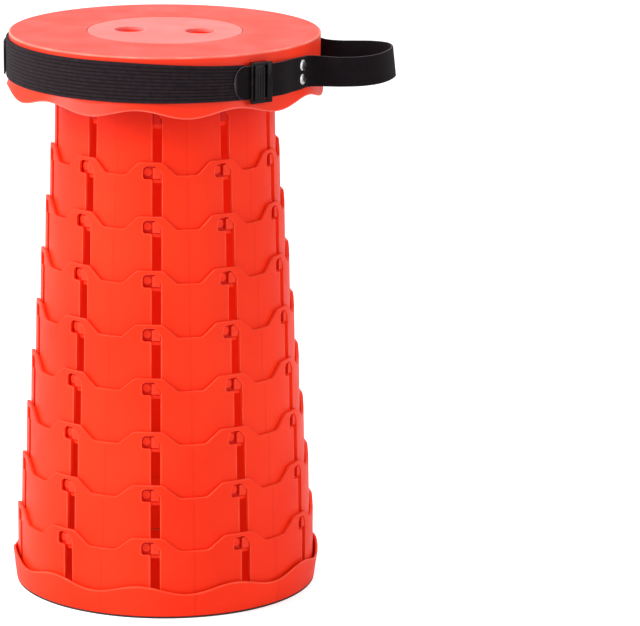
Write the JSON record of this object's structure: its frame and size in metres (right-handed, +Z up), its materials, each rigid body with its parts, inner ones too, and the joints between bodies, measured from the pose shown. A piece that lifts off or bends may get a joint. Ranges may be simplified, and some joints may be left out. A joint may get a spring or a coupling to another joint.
{
  "type": "collapsible telescopic stool",
  "caption": "Round plastic stool whose column of nested, slotted rings slides down into a flat disc, with a carrying strap round the seat.",
  "frame": {"origin": "on the centre line of the stool, at the ground under its foot ring", "axes": "+Z up along the column, -Y the front with the buckle side of the strap, +X towards the carrying loop"},
  "size_m": [0.3124, 0.2514, 0.45],
  "materials": {
    "orange_plastic": "satin moulded nylon, bright orange red",
    "cap_plastic": "satin moulded, slightly lighter",
    "rubber_foot": "matt black",
    "black_elastic": "woven with ribs along its length",
    "black_webbing": "plain weave",
    "black_plastic": "satin black",
    "bright_steel": "bright"
  },
  "bodies": {
    "base": {"base_ring": "orange_plastic", "foot_ring": "rubber_foot"},
    "ring_8": {"telescoping_ring_8": "orange_plastic"},
    "ring_7": {"telescoping_ring_7": "orange_plastic"},
    "ring_6": {"telescoping_ring_6": "orange_plastic"},
    "ring_5": {"telescoping_ring_5": "orange_plastic"},
    "ring_4": {"telescoping_ring_4": "orange_plastic"},
    "ring_3": {"telescoping_ring_3": "orange_plastic"},
    "ring_2": {"telescoping_ring_2": "orange_plastic"},
    "ring_1": {"telescoping_ring_1": "orange_plastic"},
    "seat": {"hub_ring": "orange_plastic", "seat_top": "orange_plastic", "centre_cap": "cap_plastic", "hub_screw_1": "bright_steel", "hub_screw_2": "bright_steel", "hub_screw_3": "bright_steel", "hub_screw_4": "bright_steel", "hub_screw_5": "bright_steel", "elastic_band": "black_elastic", "webbing_strap": "black_webbing", "strap_buckle": "black_plastic", "right_upper_rivet": "bright_steel", "right_lower_rivet": "bright_steel", "left_upper_rivet": "bright_steel", "left_lower_rivet": "bright_steel"}
  },
  "joints": [
    {"name": "ring_8_slide", "type": "slide", "parent": "base", "child": "ring_8", "axis": [0, 0, -1], "range_m": [0, 0.0423]},
    {"name": "ring_7_slide", "type": "slide", "parent": "ring_8", "child": "ring_7", "axis": [0, 0, -1], "range_m": [0, 0.0423]},
    {"name": "ring_6_slide", "type": "slide", "parent": "ring_7", "child": "ring_6", "axis": [0, 0, -1], "range_m": [0, 0.0423]},
    {"name": "ring_5_slide", "type": "slide", "parent": "ring_6", "child": "ring_5", "axis": [0, 0, -1], "range_m": [0, 0.0423]},
    {"name": "ring_4_slide", "type": "slide", "parent": "ring_5", "child": "ring_4", "axis": [0, 0, -1], "range_m": [0, 0.0423]},
    {"name": "ring_3_slide", "type": "slide", "parent": "ring_4", "child": "ring_3", "axis": [0, 0, -1], "range_m": [0, 0.0423]},
    {"name": "ring_2_slide", "type": "slide", "parent": "ring_3", "child": "ring_2", "axis": [0, 0, -1], "range_m": [0, 0.0423]},
    {"name": "ring_1_slide", "type": "slide", "parent": "ring_2", "child": "ring_1", "axis": [0, 0, -1], "range_m": [0, 0.0423]},
    {"name": "seat_slide", "type": "slide", "parent": "ring_1", "child": "seat", "axis": [0, 0, -1], "range_m": [0, 0.0423]}
  ],
  "couplings": [
    {"joint": "ring_7_slide", "follows": "ring_8_slide", "ratio": 1},
    {"joint": "ring_6_slide", "follows": "ring_8_slide", "ratio": 1},
    {"joint": "ring_5_slide", "follows": "ring_8_slide", "ratio": 1},
    {"joint": "ring_4_slide", "follows": "ring_8_slide", "ratio": 1},
    {"joint": "ring_3_slide", "follows": "ring_8_slide", "ratio": 1},
    {"joint": "ring_2_slide", "follows": "ring_8_slide", "ratio": 1},
    {"joint": "ring_1_slide", "follows": "ring_8_slide", "ratio": 1},
    {"joint": "seat_slide", "follows": "ring_8_slide", "ratio": 1}
  ]
}
